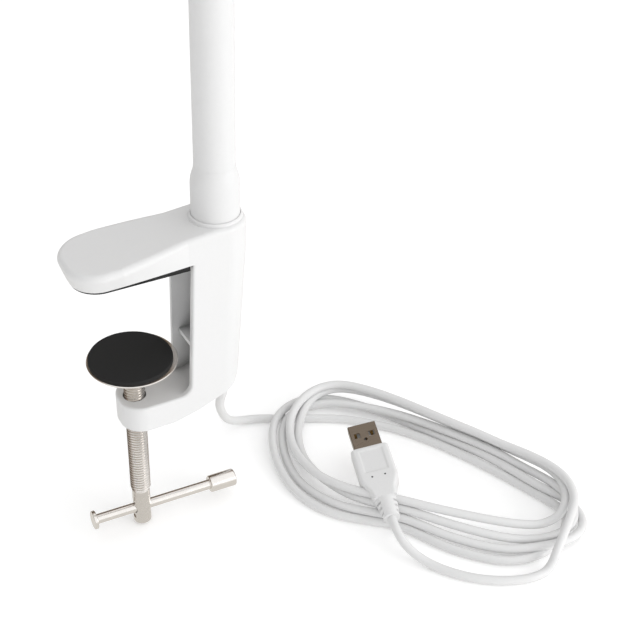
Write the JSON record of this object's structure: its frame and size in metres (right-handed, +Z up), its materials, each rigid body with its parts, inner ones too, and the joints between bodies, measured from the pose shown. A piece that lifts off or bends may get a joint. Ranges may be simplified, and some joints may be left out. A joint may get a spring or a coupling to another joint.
{
  "type": "desk lamp",
  "caption": "Clamp-on desk lamp with a white C-shaped clamp, tommy-bar screw, flexible neck, slim light bar and a coiled plug-ended lead.",
  "frame": {"origin": "on the clamp screw's axis, in the plane of the desk top that the upper jaw's pad rests on", "axes": "+Z up, +X from the screw towards the column, the upper jaw points along -X over the desk"},
  "size_m": [0.4278, 0.1409, 0.3288],
  "materials": {
    "body_white": "satin, faint moulding texture",
    "sleeve_white": "soft matt sleeve",
    "soft_black": "fine matt foam rubber",
    "nickel": "polished nickel",
    "steel": "plain zinc plated",
    "cable_white": "soft satin jacket",
    "plug_white": "moulded satin",
    "plug_steel": "brushed, warm reflection",
    "insulator": "plain",
    "contact_gold": "gold plated",
    "head_white": "satin",
    "head_metal": "rolled",
    "board": "solder mask",
    "led_yellow": "phosphor",
    "diffuser": "frosted",
    "button_grey": "soft touch",
    "switch_black": "plain"
  },
  "bodies": {
    "root": {"clamp_body": "body_white", "upper_jaw_pad": "soft_black", "thread_insert": "steel", "neck_spigot": "steel", "neck_washer": "steel", "neck_nut": "steel", "neck_boot": "body_white", "neck_link_0": "steel", "neck_sleeve_0": "sleeve_white", "neck_lead_0": "cable_white", "inner_lead": "cable_white", "cord_bush": "cable_white", "cable_lead": "cable_white", "cable_coil": "cable_white", "cable_tail": "cable_white", "plug_relief": "cable_white", "plug_body": "plug_white", "plug_shell": "plug_steel", "plug_tongue": "insulator", "plug_contacts": "contact_gold"},
    "swivel": {"swivel_washer": "nickel"},
    "screw": {"clamp_screw": "nickel"},
    "plate": {"pressure_plate": "nickel", "pressure_pad": "soft_black"},
    "handle": {"tommy_bar": "nickel", "bar_cap": "nickel"},
    "button": {"button_cap": "button_grey"},
    "neck_1": {"neck_link_1": "steel", "neck_sleeve_1": "sleeve_white", "neck_lead_1": "cable_white"},
    "neck_2": {"neck_link_2": "steel", "neck_sleeve_2": "sleeve_white", "neck_lead_2": "cable_white"},
    "neck_3": {"neck_link_3": "steel", "neck_sleeve_3": "sleeve_white", "neck_lead_3": "cable_white"},
    "neck_4": {"neck_link_4": "steel", "neck_sleeve_4": "sleeve_white", "neck_lead_4": "cable_white"},
    "neck_5": {"neck_link_5": "steel", "neck_sleeve_5": "sleeve_white", "neck_lead_5": "cable_white"},
    "head": {"neck_link_6": "steel", "neck_sleeve_6": "sleeve_white", "neck_lead_6": "cable_white", "head_shell": "head_white", "head_ferrule": "head_white", "head_nut": "steel", "head_spreader": "head_metal", "led_board": "board", "led_chips": "led_yellow", "head_diffuser": "diffuser", "head_screws": "steel", "driver_board": "board", "button_switch": "switch_black", "head_lead": "cable_white"}
  },
  "joints": [
    {"name": "pad_travel", "type": "slide", "parent": "root", "child": "swivel", "axis": [0, 0, 1], "range_m": [-0.0106, 0.0364]},
    {"name": "screw_turn", "type": "hinge", "parent": "swivel", "child": "screw", "pos_m": [0, 0, -0.1], "axis": [0, 0, 1], "range_deg": [-2880, 10440]},
    {"name": "plate_tilt", "type": "hinge", "parent": "swivel", "child": "plate", "pos_m": [0, 0, -0.0436], "axis": [0, 1, 0], "range_deg": [-5, 5]},
    {"name": "bar_slide", "type": "slide", "parent": "screw", "child": "handle", "axis": [0.9994, -0.0349, 0], "range_m": [-0.025, 0.015]},
    {"name": "neck_bend_1", "type": "hinge", "parent": "root", "child": "neck_1", "pos_m": [0.0345, 0, 0.055], "axis": [0, 1, 0], "range_deg": [-20, 25]},
    {"name": "neck_bend_2", "type": "hinge", "parent": "neck_1", "child": "neck_2", "pos_m": [0.0345, 0, 0.095], "axis": [1, 0, 0], "range_deg": [-22, 22]},
    {"name": "neck_bend_3", "type": "hinge", "parent": "neck_2", "child": "neck_3", "pos_m": [0.02697, 0, 0.13404], "axis": [0, 1, 0], "range_deg": [-12, 25]},
    {"name": "neck_bend_4", "type": "hinge", "parent": "neck_3", "child": "neck_4", "pos_m": [0.00547, 0, 0.16748], "axis": [0.7235, 0, 0.6903], "range_deg": [-22, 22]},
    {"name": "neck_bend_5", "type": "hinge", "parent": "neck_4", "child": "neck_5", "pos_m": [-0.02693, 0, 0.19053], "axis": [0, 1, 0], "range_deg": [-12, 25]},
    {"name": "neck_bend_6", "type": "hinge", "parent": "neck_5", "child": "head", "pos_m": [-0.06557, 0, 0.19988], "axis": [0.047, 0, 0.9989], "range_deg": [-22, 22]},
    {"name": "button_press", "type": "slide", "parent": "head", "child": "button", "axis": [0.1052, 0, -0.9945], "range_m": [0, 0.0008], "stiffness_N_per_m": 200, "springref_m": -0.0006}
  ],
  "couplings": [
    {"joint": "pad_travel", "follows": "screw_turn", "m_per_rad": 0.00019894}
  ]
}
